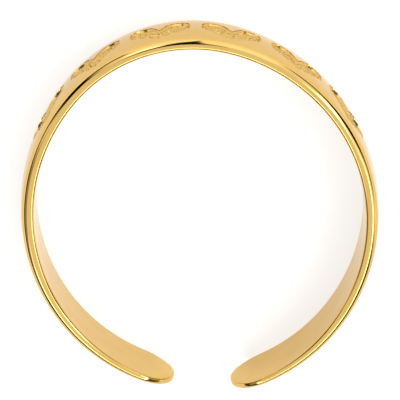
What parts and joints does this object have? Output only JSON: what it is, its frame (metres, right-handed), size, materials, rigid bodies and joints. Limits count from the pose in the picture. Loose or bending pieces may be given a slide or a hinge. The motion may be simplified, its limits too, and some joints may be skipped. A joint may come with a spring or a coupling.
{
  "type": "open toe ring",
  "caption": "Open, adjustable toe ring: a gently domed gold band with a row of recessed hearts along its front and rounded tips either side of a gap.",
  "frame": {"origin": "on the axis of the band's front arc, at its lower edge", "axes": "+Z runs along the toe and up, with the ring lying on its side; +Y points from the axis to the middle of the row of hearts; +X completes the right-handed frame"},
  "size_m": [0.0152, 0.0157, 0.004],
  "materials": {
    "gold": "polished yellow gold"
  },
  "bodies": {
    "root": {"band": "gold"}
  },
  "joints": []
}
